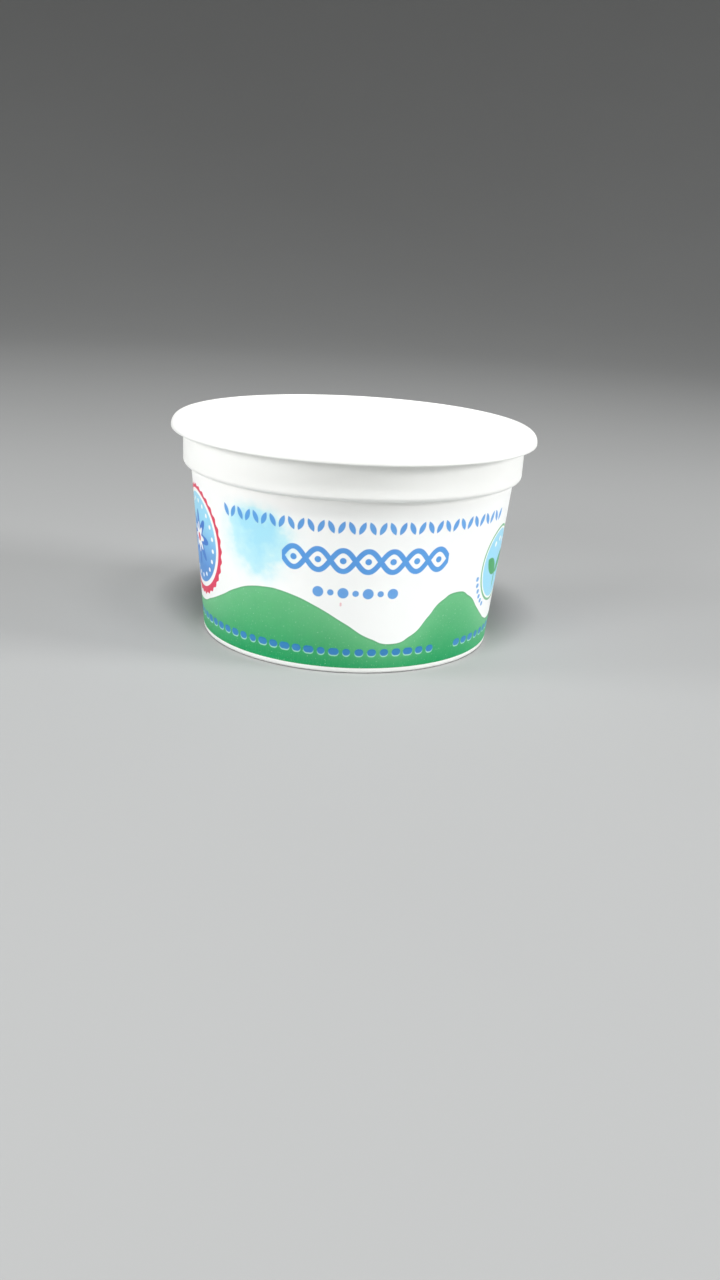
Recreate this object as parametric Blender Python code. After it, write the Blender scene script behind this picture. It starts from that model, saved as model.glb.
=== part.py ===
"""Short round disposable plastic cup, moulded in one piece.

Metres, +Z up. The origin is the centre of the circle that the cup stands on, and the
side with the middle of the printed front faces -Y. The cup is one sheet of plastic of
even thickness: a raised base inside a foot ring, a tapered wall, a ledge that carries
the next cup of a stack, an upright collar, and a rim that rolls outward and down.
"""
import bmesh
import bpy
from math import cos, pi, radians, sin, tan
from mathutils import Matrix, Vector

# Driving dimensions, in metres
RIM_DIAMETER = 0.0750
CUP_HEIGHT = 0.0446
SHEET = 0.00055

COLLAR_TOP_DIAMETER = 0.0702
COLLAR_FOOT_DIAMETER = 0.0700
LEDGE_HEIGHT = 0.0348
WALL_TOP_DIAMETER = 0.0668
WALL_FOOT_DIAMETER = 0.0605

BASE_RISE = 0.0012
FOOT_RING_WIDTH = 0.0022
FOOT_RING_SLOPE = 0.0013

RIM_ROLL = 0.0020
RIM_DEPTH = 0.0025
COLLAR_FOOT_ROUND = 0.0010
FOOT_ROUND = 0.0006
TIGHT_ROUND = 0.00025

# Straight sides that stand for each full circle
SEGMENTS = 72

# Colour and finish of the plastic
PLASTIC_COLOUR = (0.92, 0.93, 0.93, 1.0)
PLASTIC_ROUGHNESS = 0.32
SHARP_EDGE = radians(50)


def clear_scene():
    """Take away whatever the scene holds, so that only the cup is in it."""
    for thing in list(bpy.data.objects):
        bpy.data.objects.remove(thing, do_unlink=True)


def plastic_material():
    """White food-grade plastic with a soft gloss."""
    material = bpy.data.materials.new("white_plastic")
    material.use_nodes = True
    shader = material.node_tree.nodes["Principled BSDF"]
    shader.inputs["Base Color"].default_value = PLASTIC_COLOUR
    shader.inputs["Roughness"].default_value = PLASTIC_ROUGHNESS
    shader.inputs["Metallic"].default_value = 0.0
    return material


def arc_at_corner(before, corner, after, fillet, steps):
    """Points of the arc of radius fillet that rounds one corner of an outline."""
    back = (before - corner).normalized()
    ahead = (after - corner).normalized()
    half_angle = back.angle(ahead) / 2
    centre = corner + (back + ahead).normalized() * fillet / sin(half_angle)
    arm = corner + back * fillet / tan(half_angle) - centre
    turns_left = back.x * ahead.y - back.y * ahead.x < 0
    sweep = (pi - 2 * half_angle) * (1 if turns_left else -1)
    return [centre + Matrix.Rotation(sweep * step / steps, 2) @ arm for step in range(steps + 1)]


def outside_outline():
    """The sheet's outer side from the axis to the lip's end, as (radius, height) points."""
    lip_radius = RIM_DIAMETER / 2 - SHEET
    under_rim = CUP_HEIGHT - SHEET
    foot_radius = WALL_FOOT_DIAMETER / 2
    ring_radius = foot_radius - FOOT_RING_WIDTH
    # Each corner has its radius, height, fillet and the number of straight sides in the fillet
    corners = [
        (0.0, BASE_RISE, None, None),
        (ring_radius - FOOT_RING_SLOPE, BASE_RISE, FOOT_ROUND, 2),
        (ring_radius, 0.0, FOOT_ROUND, 2),
        (foot_radius, 0.0, FOOT_ROUND, 4),
        (WALL_TOP_DIAMETER / 2, LEDGE_HEIGHT, TIGHT_ROUND, 1),
        (COLLAR_FOOT_DIAMETER / 2, LEDGE_HEIGHT, COLLAR_FOOT_ROUND, 4),
        (COLLAR_TOP_DIAMETER / 2, under_rim, TIGHT_ROUND, 1),
        (lip_radius, under_rim, RIM_ROLL - SHEET, 5),
        (lip_radius, CUP_HEIGHT - RIM_DEPTH + SHEET / 2, None, None),
    ]
    places = [Vector(corner[:2]) for corner in corners]
    outline = [places[0]]
    for index in range(1, len(corners) - 1):
        fillet, steps = corners[index][2:]
        outline += arc_at_corner(*places[index - 1:index + 2], fillet, steps)
    outline.append(places[-1])
    return outline


def offset_left(outline, distance):
    """The outline moved sideways to its left, with mitred corners."""
    sides = [(b - a).normalized() for a, b in zip(outline, outline[1:])]
    normals = [Vector((-side.y, side.x)) for side in sides]
    before = [normals[0]] + normals
    after = normals + [normals[-1]]
    return [
        point + (one + other) * distance / (1 + one.dot(other))
        for point, one, other in zip(outline, before, after)
    ]


def sheet_section():
    """Half of the cup's cross-section: outer side, rounded lip end, and inner side back."""
    outer = outside_outline()
    inner = offset_left(outer, SHEET)
    lip_centre = (outer[-1] + inner[-1]) / 2
    lip_arm = outer[-1] - lip_centre
    lip_end = [
        lip_centre + Matrix.Rotation(angle, 2) @ lip_arm
        for angle in (pi / 3, 2 * pi / 3)
    ]
    return outer + lip_end + inner[::-1]


def turned_mesh(name, section):
    """A closed mesh made by turning the section once round the Z axis."""
    turned = bmesh.new()
    points = [turned.verts.new((point.x, 0.0, point.y)) for point in section]
    sides = [turned.edges.new(pair) for pair in zip(points, points[1:])]
    bmesh.ops.spin(
        turned, geom=points + sides, cent=(0, 0, 0), axis=(0, 0, 1),
        angle=2 * pi, steps=SEGMENTS, use_merge=True,
    )
    bmesh.ops.remove_doubles(turned, verts=turned.verts, dist=1e-6)
    bmesh.ops.recalc_face_normals(turned, faces=turned.faces)
    mesh = bpy.data.meshes.new(name)
    turned.to_mesh(mesh)
    turned.free()
    mesh.shade_smooth()
    mesh.set_sharp_from_angle(angle=SHARP_EDGE)
    return mesh


def make_cup():
    """The cup, standing on its foot ring."""
    mesh = turned_mesh("cup", sheet_section())
    mesh.materials.append(plastic_material())
    cup = bpy.data.objects.new("cup", mesh)
    bpy.context.scene.collection.objects.link(cup)


clear_scene()
make_cup()
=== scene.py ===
"""Looks of a short round disposable plastic cup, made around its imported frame.

Metres, +Z up. The cup stands on the floor at height 0, and the middle of its printed front
faces -Y. The print is drawn by node groups in millimetres: Across runs along the wall to
the right of someone who looks at the front, and Up is the height above the floor.
"""
from math import cos, degrees, pi, radians, sin, tan

import bmesh
import bpy
from bpy.props import FloatProperty, FloatVectorProperty, IntProperty, PointerProperty
from mathutils import Color, Matrix, Vector


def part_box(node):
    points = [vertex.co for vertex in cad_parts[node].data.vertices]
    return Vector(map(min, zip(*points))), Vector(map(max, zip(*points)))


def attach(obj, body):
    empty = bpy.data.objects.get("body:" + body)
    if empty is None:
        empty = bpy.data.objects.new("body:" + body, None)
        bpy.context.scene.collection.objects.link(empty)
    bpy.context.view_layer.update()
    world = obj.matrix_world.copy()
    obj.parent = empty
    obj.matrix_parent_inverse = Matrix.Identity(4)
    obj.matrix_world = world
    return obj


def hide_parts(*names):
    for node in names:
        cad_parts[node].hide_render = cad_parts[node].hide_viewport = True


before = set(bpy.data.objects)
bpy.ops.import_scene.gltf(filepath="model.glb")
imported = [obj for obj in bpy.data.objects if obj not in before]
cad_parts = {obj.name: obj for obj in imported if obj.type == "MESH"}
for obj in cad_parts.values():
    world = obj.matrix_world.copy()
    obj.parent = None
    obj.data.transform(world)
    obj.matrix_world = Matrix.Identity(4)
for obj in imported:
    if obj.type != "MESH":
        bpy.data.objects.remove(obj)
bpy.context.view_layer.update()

bl_info = {
    "name": "Disposable plastic cup",
    "version": (1, 0, 0),
    "blender": (4, 5, 0),
    "location": "3D View > Sidebar > Cup",
    "description": "Makes a printed one-piece dessert cup, its studio and its camera",
    "category": "Object",
}

CAD_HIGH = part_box("cup")[1]
# Keeps the finished rim just inside the CAD box in spite of rounding, in metres
RIM_MARGIN = 4e-7

# The print repeats every half turn. One repeat runs from this angle, in degrees, to half a turn on
REPEAT_START = -93.5
REPEAT = 180.0
# The wall's mean outer diameter sets how long one degree is along the wall, in millimetres
MEAN_WALL_DIAMETER = 63.6
MM_PER_DEGREE = MEAN_WALL_DIAMETER * pi / 360
MM_PER_METRE = 1000.0


def screen_colour(red, green, blue):
    """A colour as it is seen on a screen, from 0 to 255, turned into Blender's linear values."""
    linear = Color((red / 255, green / 255, blue / 255)).from_srgb_to_scene_linear()
    return (*linear, 1.0)


def colour_property(name, description, default):
    """A colour that the user can change."""
    return FloatVectorProperty(
        name=name, description=description, default=default,
        subtype="COLOR", size=4, min=0.0, max=1.0,
    )


def length_property(name, description, default):
    """A length in metres that the user can change."""
    return FloatProperty(
        name=name, description=description, default=default,
        min=0.0, unit="LENGTH", subtype="DISTANCE", precision=5,
    )


class CupShape(bpy.types.PropertyGroup):
    """Sizes of the cup. The two that set its box come from the frame."""

    rim_diameter: length_property(
        "Rim diameter", "Width over the rolled rim",
        2 * min(CAD_HIGH.x, CAD_HIGH.y) - RIM_MARGIN)
    height: length_property("Height", "Height of the rim above the floor", CAD_HIGH.z)
    sheet: length_property("Sheet", "Thickness of the plastic", 0.00055)
    collar_top: length_property("Collar top", "Diameter of the collar under the rim", 0.0702)
    collar_foot: length_property("Collar foot", "Diameter of the collar at its foot", 0.0700)
    ledge_height: length_property("Ledge height", "Height of the step under the collar", 0.0348)
    wall_top: length_property("Wall top", "Diameter of the tapered wall at its top", 0.0668)
    wall_foot: length_property("Wall foot", "Diameter of the tapered wall at its foot", 0.0605)
    base_rise: length_property("Base rise", "Height of the base over the floor", 0.0012)
    ring_width: length_property("Foot ring width", "Width of the foot ring", 0.0022)
    ring_slope: length_property("Foot ring slope", "Run of the ring's inner slope", 0.0013)
    rim_roll: length_property("Rim roll", "Radius of the rolled rim's outside", 0.0020)
    rim_depth: length_property("Rim depth", "Drop from the rim's top to its lip", 0.0025)
    collar_round: length_property("Collar round", "Fillet at the collar's foot", 0.0010)
    foot_round: length_property("Foot round", "Fillets of the foot ring", 0.0006)
    tight_round: length_property("Tight round", "Fillets in the inner corners", 0.00025)
    gate_radius: length_property("Gate radius", "Radius of the moulding point", 0.0013)
    gate_drop: length_property("Gate drop", "Depth of the moulding point", 0.0003)
    segments: IntProperty(
        name="Segments", description="Straight sides in each full circle",
        default=240, min=24, max=720)


class PrintColours(bpy.types.PropertyGroup):
    """Colours of the plastic and of the inks, and a brighter white that paints a sheen over the
    printed band.
    """

    plastic: colour_property("Plastic", "Bare white plastic", screen_colour(246, 247, 243))
    # A brighter white over the printed band, a painted sheen; it fades out under the ledge, where
    # the plainer white is painted shade
    printed_white: colour_property("Painted sheen white", "White under the inks, a touch cooler",
                                   screen_colour(250, 253, 251))
    hill_crest: colour_property("Hill crest", "Hills at the top", screen_colour(115, 189, 138))
    # The hills darken from crest to foot: partly the print's own gradient, partly painted shade
    # near the floor
    hill_foot: colour_property("Hill foot", "Hills at the foot", screen_colour(6, 155, 93))
    hill_edge: colour_property("Hill edge", "Line along the crest", screen_colour(96, 160, 120))
    mark: colour_property("Marks", "Blue of the ornament rows", screen_colour(86, 156, 218))
    low_mark: colour_property("Low marks", "Blue of the row on the hills",
                              screen_colour(34, 122, 186))
    low_edge: colour_property("Low edge", "Plastic bared under the row on the hills",
                              screen_colour(176, 226, 208))
    cloud: colour_property("Cloud", "Middle of the soft sky-blue patch",
                           screen_colour(150, 216, 247))
    haze: colour_property("Haze", "Fading rim of that patch", screen_colour(206, 242, 250))
    ring: colour_property("Ring", "Red ring of the left seal", screen_colour(216, 66, 98))
    deep: colour_property("Deep blue", "Deep blue of the left seal", screen_colour(62, 124, 200))
    pale: colour_property("Pale blue", "Pale blue of both seals", screen_colour(156, 212, 240))
    leaf: colour_property("Leaf", "Green of the right seal", screen_colour(78, 164, 106))


class StageSettings(bpy.types.PropertyGroup):
    """The floor, the lights and the camera."""

    floor: colour_property("Floor", "Colour of the floor", screen_colour(154, 155, 155))
    sky: colour_property("Sky", "Colour of the light from all round", screen_colour(240, 240, 238))
    sky_strength: FloatProperty(
        name="Sky strength", description="Strength of the light from all round",
        default=0.29, min=0.0)
    lights: FloatProperty(
        name="Lights", description="Strength of all the studio lights together",
        default=1.0, min=0.0)
    camera_distance: length_property(
        "Camera distance", "Distance in front of the cup's axis", 0.2542)
    camera_height: length_property("Camera height", "Height above the floor", 0.0833)
    camera_tilt: FloatProperty(
        name="Camera tilt", description="How far the camera looks down",
        default=0.3283, subtype="ANGLE", unit="ROTATION")
    camera_turn: FloatProperty(
        name="Camera turn", description="How far the camera looks to the left of the axis",
        default=-0.0140, subtype="ANGLE", unit="ROTATION")
    camera_roll: FloatProperty(
        name="Camera roll", description="How far the camera leans",
        default=-0.0570, subtype="ANGLE", unit="ROTATION")
    lens: FloatProperty(
        name="Lens", description="Focal length for a picture 36 mm high, in millimetres",
        default=34.57, min=1.0)


class Field:
    """A number that changes over a surface. Arithmetic on fields adds Math nodes."""

    def __init__(self, tree, socket):
        self.tree = tree
        self.socket = socket

    def math(self, operation, *values):
        return math(self.tree, operation, self, *values)

    def __add__(self, other):
        return self.math("ADD", other)

    def __sub__(self, other):
        return self.math("SUBTRACT", other)

    def __rsub__(self, other):
        return math(self.tree, "SUBTRACT", other, self)

    def __mul__(self, other):
        return self.math("MULTIPLY", other)

    def __truediv__(self, other):
        return self.math("DIVIDE", other)

    def __abs__(self):
        return self.math("ABSOLUTE")


def feed(tree, socket, value):
    """Link a field to a socket, or set a plain value on it."""
    if isinstance(value, Field):
        tree.links.new(value.socket, socket)
    else:
        socket.default_value = value


def math(tree, operation, *values):
    """One Math node."""
    node = tree.nodes.new("ShaderNodeMath")
    node.operation = operation
    for socket, value in zip(node.inputs, values):
        feed(tree, socket, value)
    return Field(tree, node.outputs["Value"])


def mix_colour(tree, share, under, over):
    """The colour under, covered by the colour over by that share."""
    node = tree.nodes.new("ShaderNodeMix")
    node.data_type = "RGBA"
    feed(tree, node.inputs["Factor"], share)
    under_socket, over_socket = [s for s in node.inputs if s.name in "AB" and s.type == "RGBA"]
    feed(tree, under_socket, under)
    feed(tree, over_socket, over)
    return Field(tree, next(s for s in node.outputs if s.type == "RGBA"))


def flat_vector(tree, across, up):
    """A place on the unrolled wall as a vector, for noise."""
    node = tree.nodes.new("ShaderNodeCombineXYZ")
    for socket, value in zip(node.inputs, (across, up)):
        feed(tree, socket, value)
    return Field(tree, node.outputs["Vector"])


def noise(tree, place, scale, detail=2.0, roughness=0.5):
    """Soft random patches, about 0.5 in the mean."""
    node = tree.nodes.new("ShaderNodeTexNoise")
    feed(tree, node.inputs["Vector"], place)
    node.inputs["Scale"].default_value = scale
    node.inputs["Detail"].default_value = detail
    node.inputs["Roughness"].default_value = roughness
    return Field(tree, node.outputs["Fac"])


def between(tree, value, low, high):
    """0 up to low, 1 from high, and a straight slope between them, clamped."""
    node = tree.nodes.new("ShaderNodeMapRange")
    for name, number in (("Value", value), ("From Min", low), ("From Max", high)):
        feed(tree, node.inputs[name], number)
    return Field(tree, node.outputs["Result"])


# Width over which an ink's edge fades, in millimetres
INK_SOFTNESS = 0.14


def inked(tree, distance):
    """Ink cover from a signed distance to a mark's edge, in millimetres, negative inside."""
    return between(tree, distance, INK_SOFTNESS / 2, -INK_SOFTNESS / 2)


def new_group(name, inputs, outputs):
    """A shader node group. Returns its tree, its inputs as fields, and its output node."""
    tree = bpy.data.node_groups.new(name, "ShaderNodeTree")
    for label, kind in inputs:
        tree.interface.new_socket(label, in_out="INPUT", socket_type="NodeSocket" + kind)
    for label, kind in outputs:
        tree.interface.new_socket(label, in_out="OUTPUT", socket_type="NodeSocket" + kind)
    entry = tree.nodes.new("NodeGroupInput")
    result = tree.nodes.new("NodeGroupOutput")
    fields = [Field(tree, entry.outputs[label]) for label, _ in inputs]
    return tree, fields, result


def place_group(tree, group, values):
    """Put a group in a tree, set its inputs in their order, and return its outputs as fields."""
    node = tree.nodes.new("ShaderNodeGroup")
    node.node_tree = group
    for socket, value in zip(node.inputs, values):
        feed(tree, socket, value)
    outputs = [Field(tree, socket) for socket in node.outputs]
    return outputs[0] if len(outputs) == 1 else outputs


FLOATS = "Float"
WALL_INPUTS = [("Across", FLOATS), ("Up", FLOATS)]


def numbers(*labels):
    """Float sockets with these names."""
    return [(label, FLOATS) for label in labels]


def wall_place_group():
    """From a place on the cup to millimetres along the wall and up it, folded every half turn."""
    tree, (place,), result = new_group("wall place", [("Place", "Vector")], WALL_INPUTS)
    axes = tree.nodes.new("ShaderNodeSeparateXYZ")
    feed(tree, axes.inputs["Vector"], place)
    x, y, z = [Field(tree, socket) for socket in axes.outputs]
    angle = x.math("ARCTAN2", y * -1.0) * degrees(1.0)
    folded = angle.math("WRAP", REPEAT_START + REPEAT, REPEAT_START)
    feed(tree, result.inputs["Across"], folded * MM_PER_DEGREE)
    feed(tree, result.inputs["Up"], z * MM_PER_METRE)
    return tree


def row_cell(tree, across, start, pitch):
    """For marks a pitch apart from start: the mark's number, and the place across its cell."""
    steps = (across - start) / pitch
    number = steps.math("FLOOR")
    return number, (steps - number - 0.5) * pitch


def within(tree, value, start, end):
    """1 from start to end, and 0 elsewhere."""
    return value.math("GREATER_THAN", start) * value.math("LESS_THAN", end)


def lens_distance(tree, along, aside, length, width):
    """Signed distance to a pointed leaf of that length and width, which lies along one axis."""
    half_length = length * 0.5
    half_width = width * 0.5
    radius = (half_length * half_length + half_width * half_width) / width
    offset = abs(aside) + (radius - half_width)
    return (offset * offset + along * along).math("SQRT") - radius


def leaf_row_group():
    """A row of small leaves that lean to the right and to the left in turn."""
    names = ("Start", "End", "Middle", "Pitch", "Length", "Width", "Lean")
    tree, fields, result = new_group(
        "leaf row", WALL_INPUTS + numbers(*names), numbers("Cover"))
    across, up, start, end, middle, pitch, length, width, lean = fields
    number, aside = row_cell(tree, across, start, pitch)
    rise = up - middle
    turn = lean * (number.math("FLOORED_MODULO", 2.0) * 2.0 - 1.0)
    sine = turn.math("SINE")
    cosine = turn.math("COSINE")
    along = rise * cosine + aside * sine
    beside = aside * cosine - rise * sine
    cover = inked(tree, lens_distance(tree, along, beside, length, width))
    feed(tree, result.inputs["Cover"], cover * within(tree, across, start, end))
    return tree


def twisted_ribbon_group():
    """Two strands that wind round each other in a row of loops, with a dot in each loop."""
    names = ("Start", "End", "Middle", "Loop", "Swing", "Strand", "Dot")
    tree, fields, result = new_group(
        "twisted ribbon", WALL_INPUTS + numbers(*names), numbers("Cover"))
    across, up, start, end, middle, loop, swing, strand, dot = fields
    aside = row_cell(tree, across, start, loop)[1]
    turn = (across - start) * pi / loop
    wave = turn.math("SINE") * swing
    slope = turn.math("COSINE") * swing * pi / loop
    stretch = (slope * slope + 1.0).math("SQRT")
    rise = up - middle
    gap = abs(rise - wave).math("MINIMUM", abs(rise + wave)) / stretch
    strands = gap - strand * 0.5
    dots = (aside * aside + rise * rise).math("SQRT") - dot
    cover = inked(tree, strands.math("MINIMUM", dots))
    feed(tree, result.inputs["Cover"], cover * within(tree, across, start, end))
    return tree


def dot_row_group():
    """A row of round dots, large and small in turn."""
    names = ("Start", "End", "Middle", "Pitch", "Large radius", "Small radius")
    tree, fields, result = new_group(
        "dot row", WALL_INPUTS + numbers(*names), numbers("Cover"))
    across, up, start, end, middle, pitch, large, small = fields
    number, aside = row_cell(tree, across, start, pitch)
    radius = large + (small - large) * number.math("FLOORED_MODULO", 2.0)
    rise = up - middle
    cover = inked(tree, (aside * aside + rise * rise).math("SQRT") - radius)
    feed(tree, result.inputs["Cover"], cover * within(tree, across, start, end))
    return tree


# A dash's shortest length, and how much longer it can be, as shares of the pitch
SHORTEST_DASH = 0.6
DASH_SPREAD = 0.28


def dash_row_group():
    """A row of round-ended dashes, each of its own random length."""
    names = ("Start", "End", "Middle", "Pitch", "Thickness")
    tree, fields, result = new_group(
        "dash row", WALL_INPUTS + numbers(*names), numbers("Cover"))
    across, up, start, end, middle, pitch, thickness = fields
    number, aside = row_cell(tree, across, start, pitch)
    chance = tree.nodes.new("ShaderNodeTexWhiteNoise")
    chance.noise_dimensions = "1D"
    feed(tree, chance.inputs["W"], number)
    length = pitch * (Field(tree, chance.outputs["Value"]) * DASH_SPREAD + SHORTEST_DASH)
    beyond = (abs(aside) - (length - thickness) * 0.5).math("MAXIMUM", 0.0)
    rise = up - middle
    cover = inked(tree, (beyond * beyond + rise * rise).math("SQRT") - thickness * 0.5)
    feed(tree, result.inputs["Cover"], cover * within(tree, across, start, end))
    return tree


def disc_group():
    """A round field of colour, whose edge can have lobes."""
    names = ("Centre across", "Centre up", "Radius", "Lobes", "Lobe depth")
    tree, fields, result = new_group("disc", WALL_INPUTS + numbers(*names), numbers("Cover"))
    across, up, centre_across, centre_up, radius, lobes, depth = fields
    aside = across - centre_across
    rise = up - centre_up
    out = (aside * aside + rise * rise).math("SQRT")
    lobe = (aside.math("ARCTAN2", rise) * lobes).math("COSINE") * depth
    feed(tree, result.inputs["Cover"], inked(tree, out - radius - lobe))
    return tree


def bead_arc_group():
    """Round beads along an arc. Turns go clockwise from straight up, in radians."""
    names = ("Centre across", "Centre up", "Radius", "Start turn", "End turn", "Step",
             "Bead radius")
    tree, fields, result = new_group(
        "bead arc", WALL_INPUTS + numbers(*names), numbers("Cover"))
    across, up, centre_across, centre_up, radius, start, end, step, bead_radius = fields
    aside = across - centre_across
    rise = up - centre_up
    out = (aside * aside + rise * rise).math("SQRT") - radius
    turn = aside.math("ARCTAN2", rise)
    along = row_cell(tree, turn, start, step)[1] * radius
    cover = inked(tree, (along * along + out * out).math("SQRT") - bead_radius)
    feed(tree, result.inputs["Cover"], cover * within(tree, turn, start, end))
    return tree


def single_leaf_group():
    """One pointed leaf, leaning from a foot."""
    names = ("Foot across", "Foot up", "Length", "Width", "Lean")
    tree, fields, result = new_group(
        "single leaf", WALL_INPUTS + numbers(*names), numbers("Cover"))
    across, up, foot_across, foot_up, length, width, lean = fields
    aside = across - foot_across
    rise = up - foot_up
    sine = lean.math("SINE")
    cosine = lean.math("COSINE")
    along = rise * cosine + aside * sine - length * 0.5
    beside = aside * cosine - rise * sine
    cover = inked(tree, lens_distance(tree, along, beside, length, width))
    feed(tree, result.inputs["Cover"], cover)
    return tree


# The hills' outline over one repeat, from peak to peak: angle round the cup in degrees, and
# height in millimetres
HILLS_START = -27.0
CREST = [
    (-27.0, 16.0), (-25.5, 15.97), (-19.0, 15.35), (-11.4, 13.85), (0.0, 10.45), (10.2, 7.25),
    (17.0, 6.25), (24.0, 7.55), (31.0, 11.35), (37.0, 14.55), (43.0, 15.55), (50.0, 14.25),
    (58.0, 10.7), (63.5, 8.4), (67.5, 7.15), (73.0, 6.4), (82.0, 6.9), (90.0, 7.8), (99.0, 7.3),
    (108.5, 7.45), (117.5, 8.95), (128.0, 11.4), (136.0, 13.7), (145.0, 15.5), (151.5, 15.97),
    (153.0, 16.0),
]
CREST_SCALE = 20.0
# The green is at its deepest this share of the way from the crest down to the floor. The darkening
# is partly the print's gradient and partly painted shade near the floor
DEEPEST = 0.94
# The line along the crest is full down to the first depth and gone at the second, in millimetres
CREST_LINE = (0.1, 0.5)


def hills_group():
    """Rolling hills: their cover, how deep their green is (the print's gradient, partly painted
    shade near the floor), and a thin line along the crest.
    """
    tree, (across, up), result = new_group(
        "hills", WALL_INPUTS, numbers("Cover", "Shade", "Edge"))
    turns = (across / MM_PER_DEGREE - HILLS_START) / REPEAT
    curve = tree.nodes.new("ShaderNodeFloatCurve")
    line = curve.mapping.curves[0]
    knots = [((angle - HILLS_START) / REPEAT, height / CREST_SCALE) for angle, height in CREST]
    line.points[0].location = knots[0]
    line.points[1].location = knots[-1]
    for knot in knots[1:-1]:
        line.points.new(*knot)
    curve.mapping.update()
    feed(tree, curve.inputs["Value"], turns - turns.math("FLOOR"))
    crest = Field(tree, curve.outputs["Value"]) * CREST_SCALE
    depth = crest - up
    feed(tree, result.inputs["Cover"], inked(tree, depth * -1.0))
    feed(tree, result.inputs["Shade"], between(tree, depth / crest, 0.0, DEEPEST))
    feed(tree, result.inputs["Edge"], between(tree, depth, CREST_LINE[1], CREST_LINE[0]))
    return tree


# Soft blobs that make the sky-blue patch: across, up, half width and half height in
# millimetres, and strength
CLOUD_BLOBS = [
    (-19.0, 28.7, 5.6, 3.0, 0.95), (-15.4, 25.3, 5.4, 3.9, 0.85), (-17.5, 19.8, 5.2, 3.9, 0.48),
    (-22.0, 24.2, 5.6, 4.6, 0.5),
]
# The noise that makes it washy, with the values between which it thins the blue
WASH_SCALE = 0.36
WASH_RANGE = (-0.15, 0.75)
# Strengths at which the patch begins and is full, and how much of the haze covers the white
CLOUD_RANGE = (0.03, 0.9)
HAZE_RANGE = (0.0, 0.5)
HAZE_SHARE = 0.85


def cloud_group():
    """A washy patch of sky blue, as if brushed on."""
    tree, (across, up), result = new_group("cloud", WALL_INPUTS, numbers("Cover"))
    total = None
    for centre, height, half_width, half_height, strength in CLOUD_BLOBS:
        aside = (across - centre) / half_width
        rise = (up - height) / half_height
        blob = ((aside * aside + rise * rise) * -1.0).math("EXPONENT") * strength
        total = blob if total is None else total + blob
    wash = noise(tree, flat_vector(tree, across, up), WASH_SCALE, detail=3.0)
    washed = total * between(tree, wash, *WASH_RANGE)
    feed(tree, result.inputs["Cover"], between(tree, washed, *CLOUD_RANGE))
    return tree


# Ends of the printed part of the wall above the floor, in millimetres
PRINT_FOOT = 1.15
PRINT_TOP = 33.8
# How far down from the print's top the brighter white, a painted sheen, fades in, in millimetres;
# the plainer white above it is painted shade under the ledge
LEDGE_SHADE_FADE = 3.0

# Rows of ornament. Across and heights in millimetres on the wall
TOP_ROW = {
    "Start": -26.6, "End": 37.0, "Middle": 29.6, "Pitch": 1.8706,
    "Length": 2.7, "Width": 1.05, "Lean": radians(24),
}
MAIN_ROW = {
    "Start": -12.6, "End": 20.3, "Middle": 23.07, "Loop": 4.7,
    "Swing": 2.05, "Strand": 1.05, "Dot": 0.62,
}
THIRD_ROW = {
    "Start": -6.6, "End": 10.2, "Middle": 16.65, "Pitch": 2.4,
    "Large radius": 1.05, "Small radius": 0.62,
}
LOW_ROW_DASHES = 39
LOW_ROW = {
    "Start": REPEAT_START * MM_PER_DEGREE, "End": (REPEAT_START + REPEAT) * MM_PER_DEGREE,
    "Middle": 4.5, "Pitch": REPEAT * MM_PER_DEGREE / LOW_ROW_DASHES, "Thickness": 1.45,
}
# How far the plastic shows under the low row, where the inks don't quite meet
LOW_ROW_SHIFT = 0.24
# Ends of the stretch of the wall that the low row leaves free
LOW_ROW_GAP = (19.6, 25.0)
# How fully each row's ink covers, from the top row down, and the bared plastic under the last
TOP_COVER, MAIN_COVER, THIRD_COVER, LOW_COVER = 0.94, 0.97, 0.92, 0.92
LOW_EDGE_COVER = 0.8

# The two seals: centre across and up, and radius, in millimetres
LEFT_SEAL = (-39.5, 20.35, 11.25)
RIGHT_SEAL = (39.65, 18.65, 8.05)
# A stray fleck of red ink: centre across and up, radius, lobes and their depth, in millimetres
FLECK = (-0.95, 14.35, 0.28, 2.0, 0.1)
FLECK_COVER = 0.45
# A round edge without lobes: their number and depth
PLAIN = (0.0, 0.0)

# The left seal, in millimetres. The ring's lobes and their depth, and how far the white and the
# blue lie inside the ring's edge and how much higher their middles are
RING_LOBES = (32.0, 0.2)
WHITE_INSET, WHITE_LIFT = 1.15, 0.3
BLUE_INSET, BLUE_LIFT = 2.0, 0.4
# The blue deepens by this share, from this far above the seal's middle to as far below it
DEEPENING_REACH, DEEPENING_SHARE = 5.0, 0.8
# Its ring of dots: how far inside the edge, how many, and each one's radius
DOTS_INSET, DOTS_COUNT, DOT_RADIUS = 3.4, 20, 0.45
# Its rosette from the outer petals in: radius, lobes and their depth
PETALS = (4.3, 8.0, 1.5)
INNER_PETALS = (2.4, 8.0, 0.8)
HEART_RADIUS = 0.9

# The right seal, in millimetres. The ring's cover, and how far the white and the blue lie inside
GREEN_RING_COVER = 0.9
THIN_WHITE_INSET, PALE_INSET = 0.5, 0.9
# Its stem and two leaves: height of the foot from the centre, length, width, and lean in radians
SPROUT = [(-5.6, 4.2, 0.7, 0.0), (-2.2, 6.6, 3.0, -0.95), (-2.2, 6.6, 3.0, 0.95)]
# Its dots inside and outside: how far out from the ring, first and last turn and step in degrees
# clockwise from straight up, and radius
INNER_DOTS = (-3.0, -45, 45, 30, 0.55)
OUTER_DOTS = (1.25, -150, -96, 9, 0.5)
OUTER_DOTS_COVER = 0.9


class PrintStack:
    """Inks laid one over another on the plastic."""

    def __init__(self, tree, wall, plastic):
        self.tree = tree
        self.wall = wall
        self.colour = plastic
        self.cover = 0.0

    def shape(self, group, *values):
        """The cover of one shape of the print."""
        return place_group(self.tree, group, self.wall + list(values))

    def lay(self, cover, ink):
        """Print one field of colour over what is there."""
        self.colour = mix_colour(self.tree, cover, self.colour, ink)
        self.cover = cover.math("MAXIMUM", self.cover)


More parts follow.
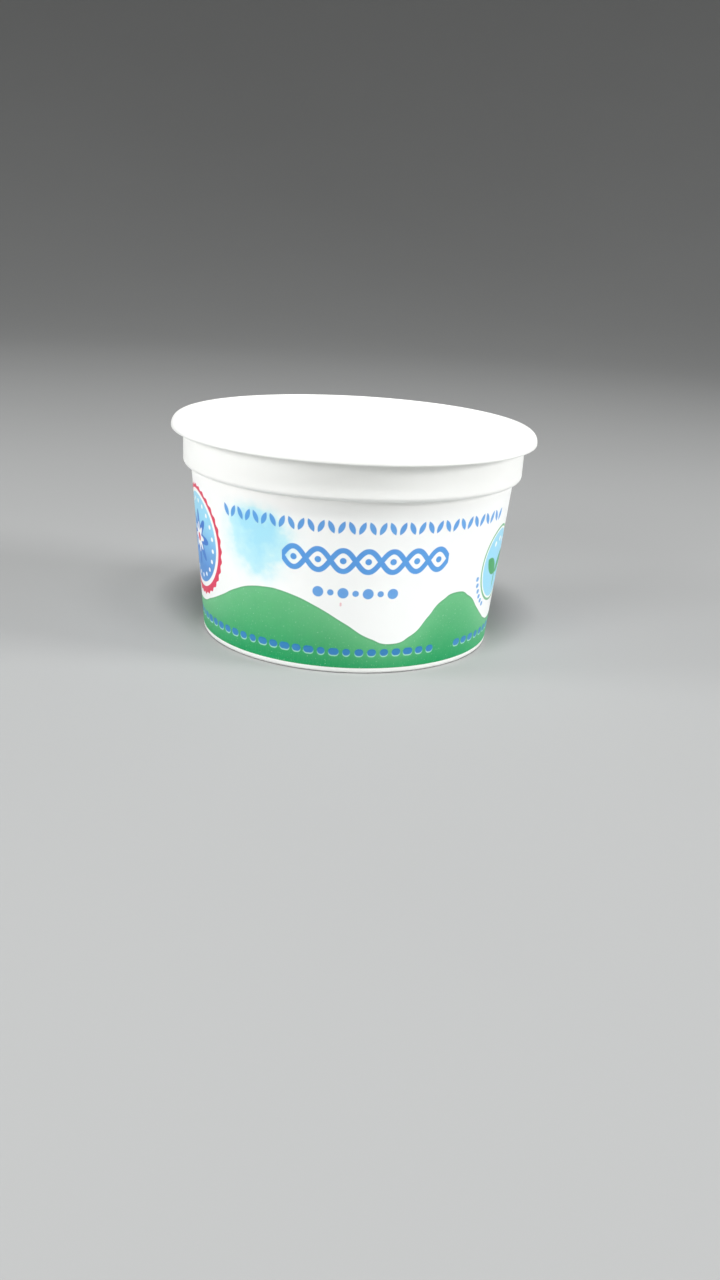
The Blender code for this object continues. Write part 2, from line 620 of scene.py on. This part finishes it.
# How strongly the crest's line shows, and the mottling of the hills: scale of the noise per
# millimetre, its detail, the values where it begins and is full, and its share
CREST_LINE_SHARE = 0.75
PATCHES = (0.35, 3.0, 0.35, 0.7, 0.08)
STREAKS = (1.0, 2.0, 0.4, 0.75, 0.10)
PINHOLES = (2.4, 1.0, 0.66, 0.76, 0.16)
# The streaks run upwards, because their noise is squeezed across and stretched up by these
STREAK_ACROSS, STREAK_UP = 3.0, 0.3


def mottled(tree, place, look, under, over):
    """The colour under, with patches of the colour over."""
    scale, detail, begin, full, share = look
    patches = noise(tree, place, scale, detail)
    return mix_colour(tree, between(tree, patches, begin, full) * share, under, over)


def lay_hills(stack, crest, foot, edge, white):
    """The green hills, a little mottled and with pinholes where the ink missed."""
    tree = stack.tree
    across, up = stack.wall
    cover, shade, crest_line = stack.shape(hills_group())
    place = flat_vector(tree, across, up)
    stretched = flat_vector(tree, across * STREAK_ACROSS, up * STREAK_UP)
    # Darker towards the foot: partly the print's gradient, partly painted shade near the floor
    green = mix_colour(tree, shade, crest, foot)
    green = mix_colour(tree, crest_line * CREST_LINE_SHARE, green, edge)
    green = mottled(tree, place, PATCHES, green, foot)
    green = mottled(tree, stretched, STREAKS, green, crest)
    green = mottled(tree, place, PINHOLES, green, white)
    stack.lay(cover, green)


def lay_rows(stack, mark, low_mark, low_edge):
    """The three blue rows on the white, and the row on the hills with its gap."""
    stack.lay(stack.shape(leaf_row_group(), *TOP_ROW.values()) * TOP_COVER, mark)
    stack.lay(stack.shape(twisted_ribbon_group(), *MAIN_ROW.values()) * MAIN_COVER, mark)
    stack.lay(stack.shape(dot_row_group(), *THIRD_ROW.values()) * THIRD_COVER, mark)
    dash_row = dash_row_group()
    kept = 1.0 - within(stack.tree, stack.wall[0], *LOW_ROW_GAP)
    lower = dict(LOW_ROW, Middle=LOW_ROW["Middle"] - LOW_ROW_SHIFT)
    stack.lay(stack.shape(dash_row, *lower.values()) * kept * LOW_EDGE_COVER, low_edge)
    stack.lay(stack.shape(dash_row, *LOW_ROW.values()) * kept * LOW_COVER, low_mark)


def lay_left_seal(stack, white, ring, deep, pale):
    """A rosette on blue, inside a ring of dots and a scalloped red ring."""
    disc = disc_group()
    across, up, radius = LEFT_SEAL
    stack.lay(stack.shape(disc, across, up, radius, *RING_LOBES), ring)
    stack.lay(stack.shape(disc, across, up + WHITE_LIFT, radius - WHITE_INSET, *PLAIN), white)
    deepening = between(
        stack.tree, stack.wall[1], up + DEEPENING_REACH, up - DEEPENING_REACH) * DEEPENING_SHARE
    blue = mix_colour(stack.tree, deepening, pale, deep)
    middle = (across, up + BLUE_LIFT)
    stack.lay(stack.shape(disc, *middle, radius - BLUE_INSET, *PLAIN), blue)
    dots = (radius - DOTS_INSET, -pi, pi, 2 * pi / DOTS_COUNT, DOT_RADIUS)
    stack.lay(stack.shape(bead_arc_group(), *middle, *dots), white)
    stack.lay(stack.shape(disc, *middle, *PETALS), deep)
    stack.lay(stack.shape(disc, *middle, *INNER_PETALS), white)
    stack.lay(stack.shape(disc, *middle, HEART_RADIUS, *PLAIN), ring)


def lay_right_seal(stack, white, mark, pale, leaf):
    """A sprout under three dots on pale blue, in a thin green ring with blue dots outside."""
    disc = bpy.data.node_groups["disc"]
    across, up, radius = RIGHT_SEAL

    def dots(out, start, end, step, dot_radius):
        """The cover of an arc of dots round the seal's centre."""
        turns = [radians(angle) for angle in (start, end, step)]
        bead_arc = bpy.data.node_groups["bead arc"]
        return stack.shape(bead_arc, across, up, radius + out, *turns, dot_radius)

    stack.lay(stack.shape(disc, across, up, radius, *PLAIN) * GREEN_RING_COVER, leaf)
    stack.lay(stack.shape(disc, across, up, radius - THIN_WHITE_INSET, *PLAIN), white)
    stack.lay(stack.shape(disc, across, up, radius - PALE_INSET, *PLAIN), pale)
    single_leaf = single_leaf_group()
    for foot, length, width, lean in SPROUT:
        stack.lay(stack.shape(single_leaf, across, up + foot, length, width, lean), leaf)
    stack.lay(dots(*INNER_DOTS), white)
    stack.lay(dots(*OUTER_DOTS) * OUTER_DOTS_COVER, mark)


def cup_print_group():
    """The whole print: its colour over the wall, and where there is ink."""
    labels = [
        "Plastic", "Painted sheen white", "Hill crest", "Hill foot", "Hill edge", "Mark", "Low mark",
        "Low edge", "Cloud", "Haze", "Ring", "Deep blue", "Pale blue", "Leaf"]
    tree, fields, result = new_group(
        "cup print", [("Place", "Vector")] + [(label, "Color") for label in labels],
        [("Colour", "Color"), ("Ink", FLOATS)])
    place, plastic, printed_white, crest, foot, edge, mark, low_mark, *rest = fields
    low_edge, cloud, haze, ring, deep, pale, leaf = rest
    wall = place_group(tree, wall_place_group(), [place])
    # The brighter white is a painted sheen on the band; its fade-out towards the ledge paints the
    # ledge's shade
    painted_sheen_share = between(tree, wall[1], PRINT_TOP, PRINT_TOP - LEDGE_SHADE_FADE)
    white = mix_colour(tree, painted_sheen_share, plastic, printed_white)
    stack = PrintStack(tree, wall, white)
    cloudy = stack.shape(cloud_group())
    hazy = between(tree, cloudy, *HAZE_RANGE) * HAZE_SHARE
    stack.lay(hazy, mix_colour(tree, cloudy, haze, cloud))
    lay_hills(stack, crest, foot, edge, white)
    lay_rows(stack, mark, low_mark, low_edge)
    lay_left_seal(stack, white, ring, deep, pale)
    lay_right_seal(stack, white, mark, pale, leaf)
    stack.lay(stack.shape(bpy.data.node_groups["disc"], *FLECK) * FLECK_COVER, ring)
    printed = within(tree, wall[1], PRINT_FOOT, PRINT_TOP)
    feed(tree, result.inputs["Colour"], mix_colour(tree, printed, plastic, stack.colour))
    feed(tree, result.inputs["Ink"], stack.cover * printed)
    return tree


# The moulded surface: scale of each noise per metre, its height in millimetres or its share of
# the roughness, and what the ink adds to both
WAVE_SCALE, WAVE_HEIGHT = 120.0, 0.030
PEEL_SCALE, PEEL_HEIGHT = 1400.0, 0.0022
HANDLED_SCALE, HANDLED_SHARE = 90.0, 0.12
INK_HEIGHT, INK_ROUGHNESS = 0.004, 0.07


def moulded_surface_group():
    """The faint unevenness of moulded plastic, in millimetres, and how rough it is."""
    tree, (place, ink, base), result = new_group(
        "moulded surface", [("Place", "Vector"), ("Ink", FLOATS), ("Roughness", FLOATS)],
        numbers("Height", "Roughness"))
    waves = noise(tree, place, WAVE_SCALE)
    orange_peel = noise(tree, place, PEEL_SCALE)
    handled = noise(tree, place, HANDLED_SCALE, detail=5.0, roughness=0.6)
    height = waves * WAVE_HEIGHT + orange_peel * PEEL_HEIGHT + ink * INK_HEIGHT
    rough = base + (handled - 0.5) * HANDLED_SHARE + ink * INK_ROUGHNESS
    feed(tree, result.inputs["Height"], height)
    feed(tree, result.inputs["Roughness"], rough)
    return tree


# Refractive index of the plastic
PLASTIC_INDEX = 1.49
# How strongly the bare and the printed plastic mirror what is round them
BARE_MIRRORING = 0.5
PRINTED_MIRRORING = 0.25
PLASTIC_ROUGHNESS = 0.36
# How much of the light goes into the plastic, and how far it spreads there, in metres
SCATTER = 0.75
LIGHT_REACH = 0.0014
# How much of the print's colour shows on the inside of the wall
SHOW_THROUGH = 0.10
# The bare plastic's faint patches: scale of their noise per metre, and how dark they get
TINT_SCALE, TINT_SHADE = 60.0, 0.97


def toned(tree, place, colour, scale, shade):
    """A colour that varies in soft patches to a slightly darker shade of it."""
    darker = tuple(part * shade for part in colour[:3]) + (1.0,)
    return mix_colour(tree, noise(tree, place, scale, detail=3.0), tuple(colour), darker)


def plastic_material(name, print_share):
    """White plastic that lets some light through, with that share of the print's colours."""
    colours = bpy.context.scene.print_colours
    material = bpy.data.materials.new(name)
    material.use_nodes = True
    tree = material.node_tree
    shader = tree.nodes["Principled BSDF"]
    place = Field(tree, tree.nodes.new("ShaderNodeTexCoord").outputs["Object"])
    ink = 0.0
    if print_share > 0:
        group = bpy.data.node_groups.get("cup print") or cup_print_group()
        inks = [tuple(getattr(colours, label)) for label in PrintColours.__annotations__]
        colour, ink = place_group(tree, group, [place] + inks)
        if print_share < 1:
            colour = mix_colour(tree, print_share, tuple(colours.plastic), colour)
            ink = 0.0
    else:
        colour = toned(tree, place, colours.plastic, TINT_SCALE, TINT_SHADE)
    feed(tree, shader.inputs["Base Color"], colour)
    surface = bpy.data.node_groups.get("moulded surface") or moulded_surface_group()
    height, rough = place_group(tree, surface, [place, ink, PLASTIC_ROUGHNESS])
    feed(tree, shader.inputs["Roughness"], rough)
    bump = tree.nodes.new("ShaderNodeBump")
    bump.inputs["Strength"].default_value = 1.0
    bump.inputs["Distance"].default_value = 1.0 / MM_PER_METRE
    feed(tree, bump.inputs["Height"], height)
    tree.links.new(bump.outputs["Normal"], shader.inputs["Normal"])
    shader.inputs["IOR"].default_value = PLASTIC_INDEX
    mirroring = PRINTED_MIRRORING if print_share == 1 else BARE_MIRRORING
    shader.inputs["Specular IOR Level"].default_value = mirroring
    shader.inputs["Subsurface Weight"].default_value = SCATTER
    shader.inputs["Subsurface Radius"].default_value = (1.0, 1.0, 1.0)
    shader.inputs["Subsurface Scale"].default_value = LIGHT_REACH
    return material


def link_piece(name, mesh, materials):
    """An object at the origin for a finished mesh."""
    for material in materials:
        mesh.materials.append(material)
    piece = bpy.data.objects.new(name, mesh)
    bpy.context.scene.collection.objects.link(piece)
    return piece


def round_corners(wire, corners, fillets):
    """Turn the inner corners of a chain of vertices into arcs of their fillet's radius."""
    places = [corner.co.copy() for corner in corners]
    for index, (fillet, steps) in enumerate(fillets, start=1):
        before, here, after = places[index - 1:index + 2]
        half_angle = (before - here).angle(after - here) / 2
        bmesh.ops.bevel(
            wire, geom=[corners[index]], offset=fillet / tan(half_angle), offset_type="OFFSET",
            segments=steps, profile=0.5, affect="VERTICES", material=-1, clamp_overlap=False)


def cup_outline(shape):
    """The sheet's outer side from the axis to the lip: corners, and fillets with their steps."""
    lip = shape.rim_diameter / 2 - shape.sheet
    under_rim = shape.height - shape.sheet
    foot = shape.wall_foot / 2
    ring = foot - shape.ring_width
    gate_low = shape.base_rise - shape.gate_drop
    corners = [
        (0.0, gate_low), (shape.gate_radius, gate_low),
        (shape.gate_radius + shape.gate_drop, shape.base_rise),
        (ring - shape.ring_slope, shape.base_rise), (ring, 0.0), (foot, 0.0),
        (shape.wall_top / 2, shape.ledge_height), (shape.collar_foot / 2, shape.ledge_height),
        (shape.collar_top / 2, under_rim), (lip, under_rim),
        (lip, shape.height - shape.rim_depth),
    ]
    fillets = [
        (shape.tight_round, 3), (shape.tight_round, 3),
        (shape.foot_round, 5), (shape.foot_round, 5), (shape.foot_round, 8),
        (shape.tight_round, 4), (shape.collar_round, 8),
        (shape.tight_round, 4), (shape.rim_roll - shape.sheet, 12),
    ]
    return corners, fillets


# Vertices closer than this are one, in metres
MERGE_DISTANCE = 1e-7
# Corners sharper than this stay crisp
CRISP_ANGLE = radians(40)


def cup_mesh(shape):
    """The cup turned from its outline, given its thickness, and its lip rounded."""
    form = bmesh.new()
    outline, fillets = cup_outline(shape)
    corners = [form.verts.new((radius, 0.0, height)) for radius, height in outline]
    for pair in zip(corners, corners[1:]):
        form.edges.new(pair)
    round_corners(form, corners, fillets)
    bmesh.ops.spin(
        form, geom=form.verts[:] + form.edges[:], cent=(0, 0, 0), axis=(0, 0, 1),
        angle=2 * pi, steps=shape.segments, use_merge=True)
    bmesh.ops.remove_doubles(form, verts=form.verts, dist=MERGE_DISTANCE)
    bmesh.ops.recalc_face_normals(form, faces=form.faces)
    wall = max(form.faces, key=lambda face: face.calc_area())
    if wall.normal.dot(wall.calc_center_median()) < 0:
        bmesh.ops.reverse_faces(form, faces=form.faces)
    bmesh.ops.solidify(form, geom=form.faces[:], thickness=shape.sheet)
    round_lip(form, shape)
    paint_faces(form, shape)
    mesh = bpy.data.meshes.new("cup_skin")
    form.to_mesh(mesh)
    form.free()
    mesh.shade_smooth()
    mesh.set_sharp_from_angle(angle=CRISP_ANGLE)
    return mesh


# Radius of the rounding at the sheet's cut end, as a share of its thickness
LIP_ROUNDING = 0.45


def round_lip(form, shape):
    """Round the two edges of the sheet's cut end at the lip."""
    end_height = shape.height - shape.rim_depth
    near = shape.sheet / 10
    lip_edges = [
        edge for edge in form.edges
        if all(abs(vert.co.z - end_height) < near for vert in edge.verts)
        and abs(edge.verts[0].co.xy.length - edge.verts[1].co.xy.length) < near
        and edge.verts[0].co.xy.length > shape.collar_top / 2]
    bmesh.ops.bevel(
        form, geom=lip_edges, offset=shape.sheet * LIP_ROUNDING, offset_type="OFFSET",
        segments=4, profile=0.5, affect="EDGES", material=-1)


# The cup's materials, in the order of its slots
BARE, PRINTED, BACKED = range(3)
# A face of the wall looks outwards or inwards at least this straight
WALL_FACING = 0.95


def paint_faces(form, shape):
    """Give the wall's outer side the print, and its inner side the print's faint shadow."""
    form.normal_update()
    for face in form.faces:
        centre = face.calc_center_median()
        outward = face.normal.dot(Vector((centre.x, centre.y, 0.0)).normalized())
        between_ends = shape.base_rise < centre.z < shape.ledge_height
        on_wall = between_ends and abs(outward) > WALL_FACING
        face.material_index = BARE
        if on_wall and centre.xy.length > shape.wall_foot / 2 - shape.sheet * 2:
            face.material_index = PRINTED if outward > 0 else BACKED


class CUP_OT_make_cup(bpy.types.Operator):
    """Make the printed cup in place of its plain solid"""

    bl_idname = "cup.make_cup"
    bl_label = "Make the cup"

    def execute(self, context):
        shape = context.scene.cup_shape
        materials = [
            plastic_material("bare_plastic", 0.0),
            plastic_material("printed_plastic", 1.0),
            plastic_material("plastic_behind_print", SHOW_THROUGH),
        ]
        cup = link_piece("printed_cup", cup_mesh(shape), materials)
        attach(cup, "root")
        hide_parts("cup")
        return {"FINISHED"}


# A level floor out to the first radius, which sweeps up into a wall all round, in metres
LEVEL_RADIUS = 0.6
SWEEP_RADIUS = 1.2
BACKDROP_HEIGHT = 1.7
SWEEP_STEPS = 32
FLOOR_SIDES = 96
FLOOR_MERGE_DISTANCE = 1e-6


def floor_mesh():
    """A round level floor that sweeps up into a backdrop all round."""
    form = bmesh.new()
    wall_radius = LEVEL_RADIUS + SWEEP_RADIUS
    corners = [
        form.verts.new((radius, 0.0, height)) for radius, height in
        ((0.0, 0.0), (wall_radius, 0.0), (wall_radius, BACKDROP_HEIGHT))]
    for pair in zip(corners, corners[1:]):
        form.edges.new(pair)
    round_corners(form, corners, [(SWEEP_RADIUS, SWEEP_STEPS)])
    bmesh.ops.spin(
        form, geom=form.verts[:] + form.edges[:], cent=(0, 0, 0), axis=(0, 0, 1),
        angle=2 * pi, steps=FLOOR_SIDES, use_merge=True)
    bmesh.ops.remove_doubles(form, verts=form.verts, dist=FLOOR_MERGE_DISTANCE)
    bmesh.ops.recalc_face_normals(form, faces=form.faces)
    level = min(form.faces, key=lambda face: face.calc_center_median().z)
    if level.normal.z < 0:
        bmesh.ops.reverse_faces(form, faces=form.faces)
    mesh = bpy.data.meshes.new("floor")
    form.to_mesh(mesh)
    form.free()
    mesh.shade_smooth()
    return mesh


# The floor's faint patches: scale of their noise per metre, and how dark they get
FLOOR_TONE_SCALE, FLOOR_TONE_SHADE = 9.0, 0.96
FLOOR_ROUGHNESS = 0.9


def floor_material(colour):
    """Plain pale matt board with a faint tone."""
    material = bpy.data.materials.new("pale_floor")
    material.use_nodes = True
    tree = material.node_tree
    shader = tree.nodes["Principled BSDF"]
    place = Field(tree, tree.nodes.new("ShaderNodeTexCoord").outputs["Object"])
    feed(tree, shader.inputs["Base Color"],
         toned(tree, place, colour, FLOOR_TONE_SCALE, FLOOR_TONE_SHADE))
    shader.inputs["Roughness"].default_value = FLOOR_ROUGHNESS
    return material


def aimed(position, target):
    """A placement at position whose -Z axis points at the target."""
    turn = (Vector(target) - Vector(position)).to_track_quat("-Z", "Y")
    return Matrix.Translation(position) @ turn.to_matrix().to_4x4()


# Soft square lights round the cup: name, azimuth in degrees (0 in front, 90 at the right),
# elevation in degrees, power in watts, width in metres, and spread in degrees. The low lights
# spread less, so they don't burn out the floor under them
STUDIO_LIGHTS = [
    ("front_high", 0, 66, 6.6, 0.2, 180), ("right_high", 40, 58, 1.4, 0.2, 180),
    ("right_side", 80, 22, 1.6, 0.28, 90), ("left_side", -80, 22, 0.8, 0.28, 90),
    ("left_front", -40, 22, 0.77, 0.28, 90),
]
# How far they stand from the cup, in metres
LIGHT_DISTANCE = 0.9


def add_area_light(name, azimuth, elevation, power, width, spread):
    """One square soft light, aimed at the cup."""
    light = bpy.data.lights.new(name, "AREA")
    light.shape = "SQUARE"
    light.size = width
    light.spread = spread
    light.energy = power
    lamp = bpy.data.objects.new(name, light)
    level = LIGHT_DISTANCE * cos(elevation)
    target = Vector((0.0, 0.0, CAD_HIGH.z / 2))
    position = target + Vector(
        (level * sin(azimuth), -level * cos(azimuth), LIGHT_DISTANCE * sin(elevation)))
    lamp.matrix_world = aimed(position, target)
    bpy.context.scene.collection.objects.link(lamp)


def add_sky(settings):
    """Even light from all round."""
    world = bpy.data.worlds.new("studio_sky")
    world.use_nodes = True
    background = world.node_tree.nodes["Background"]
    background.inputs["Color"].default_value = settings.sky
    background.inputs["Strength"].default_value = settings.sky_strength
    bpy.context.scene.world = world


# Height of the picture that the lens is given for, in millimetres
SENSOR_HEIGHT = 36.0
# The camera sees nothing nearer than this, in metres
NEAREST_SEEN = 0.01


def add_camera(settings):
    """The camera in front of the cup and above it, looking down with a slight lean."""
    camera = bpy.data.cameras.new("camera")
    camera.sensor_fit = "VERTICAL"
    camera.sensor_height = SENSOR_HEIGHT
    camera.lens = settings.lens
    camera.clip_start = NEAREST_SEEN
    holder = bpy.data.objects.new("camera", camera)
    level_view = Matrix.Rotation(pi / 2 - settings.camera_tilt, 4, "X")
    turned = Matrix.Rotation(settings.camera_turn, 4, "Z") @ level_view
    leaning = turned @ Matrix.Rotation(-settings.camera_roll, 4, "Z")
    position = Matrix.Translation((0.0, -settings.camera_distance, settings.camera_height))
    holder.matrix_world = position @ leaning
    bpy.context.scene.collection.objects.link(holder)
    bpy.context.scene.camera = holder


class CUP_OT_make_stage(bpy.types.Operator):
    """Make the floor, the lights and the camera"""

    bl_idname = "cup.make_stage"
    bl_label = "Make the stage"

    def execute(self, context):
        settings = context.scene.stage_settings
        link_piece("floor", floor_mesh(), [floor_material(settings.floor)])
        for name, azimuth, elevation, power, width, spread in STUDIO_LIGHTS:
            add_area_light(
                name, radians(azimuth), radians(elevation), settings.lights * power, width,
                radians(spread))
        add_sky(settings)
        add_camera(settings)
        context.scene.view_settings.view_transform = "Standard"
        return {"FINISHED"}


class CUP_PT_panel(bpy.types.Panel):
    """Settings of the cup and its stage, and the buttons that make them"""

    bl_idname = "CUP_PT_panel"
    bl_label = "Disposable cup"
    bl_space_type = "VIEW_3D"
    bl_region_type = "UI"
    bl_category = "Cup"

    def draw(self, context):
        for group, operator in (
                ("cup_shape", CUP_OT_make_cup), ("print_colours", None),
                ("stage_settings", CUP_OT_make_stage)):
            settings = getattr(context.scene, group)
            box = self.layout.box()
            for name in settings.__annotations__:
                box.prop(settings, name)
            if operator:
                box.operator(operator.bl_idname)


CLASSES = (
    CupShape, PrintColours, StageSettings, CUP_OT_make_cup, CUP_OT_make_stage, CUP_PT_panel)
SETTINGS = {
    "cup_shape": CupShape, "print_colours": PrintColours, "stage_settings": StageSettings}


def register():
    """Add the classes and their settings to Blender."""
    for kind in CLASSES:
        bpy.utils.register_class(kind)
    for name, kind in SETTINGS.items():
        setattr(bpy.types.Scene, name, PointerProperty(type=kind))


def unregister():
    """Take them out again."""
    for name in SETTINGS:
        delattr(bpy.types.Scene, name)
    for kind in reversed(CLASSES):
        bpy.utils.unregister_class(kind)


def main():
    """Make everything."""
    register()
    bpy.ops.cup.make_cup()
    bpy.ops.cup.make_stage()


if __name__ == "__main__":
    main()
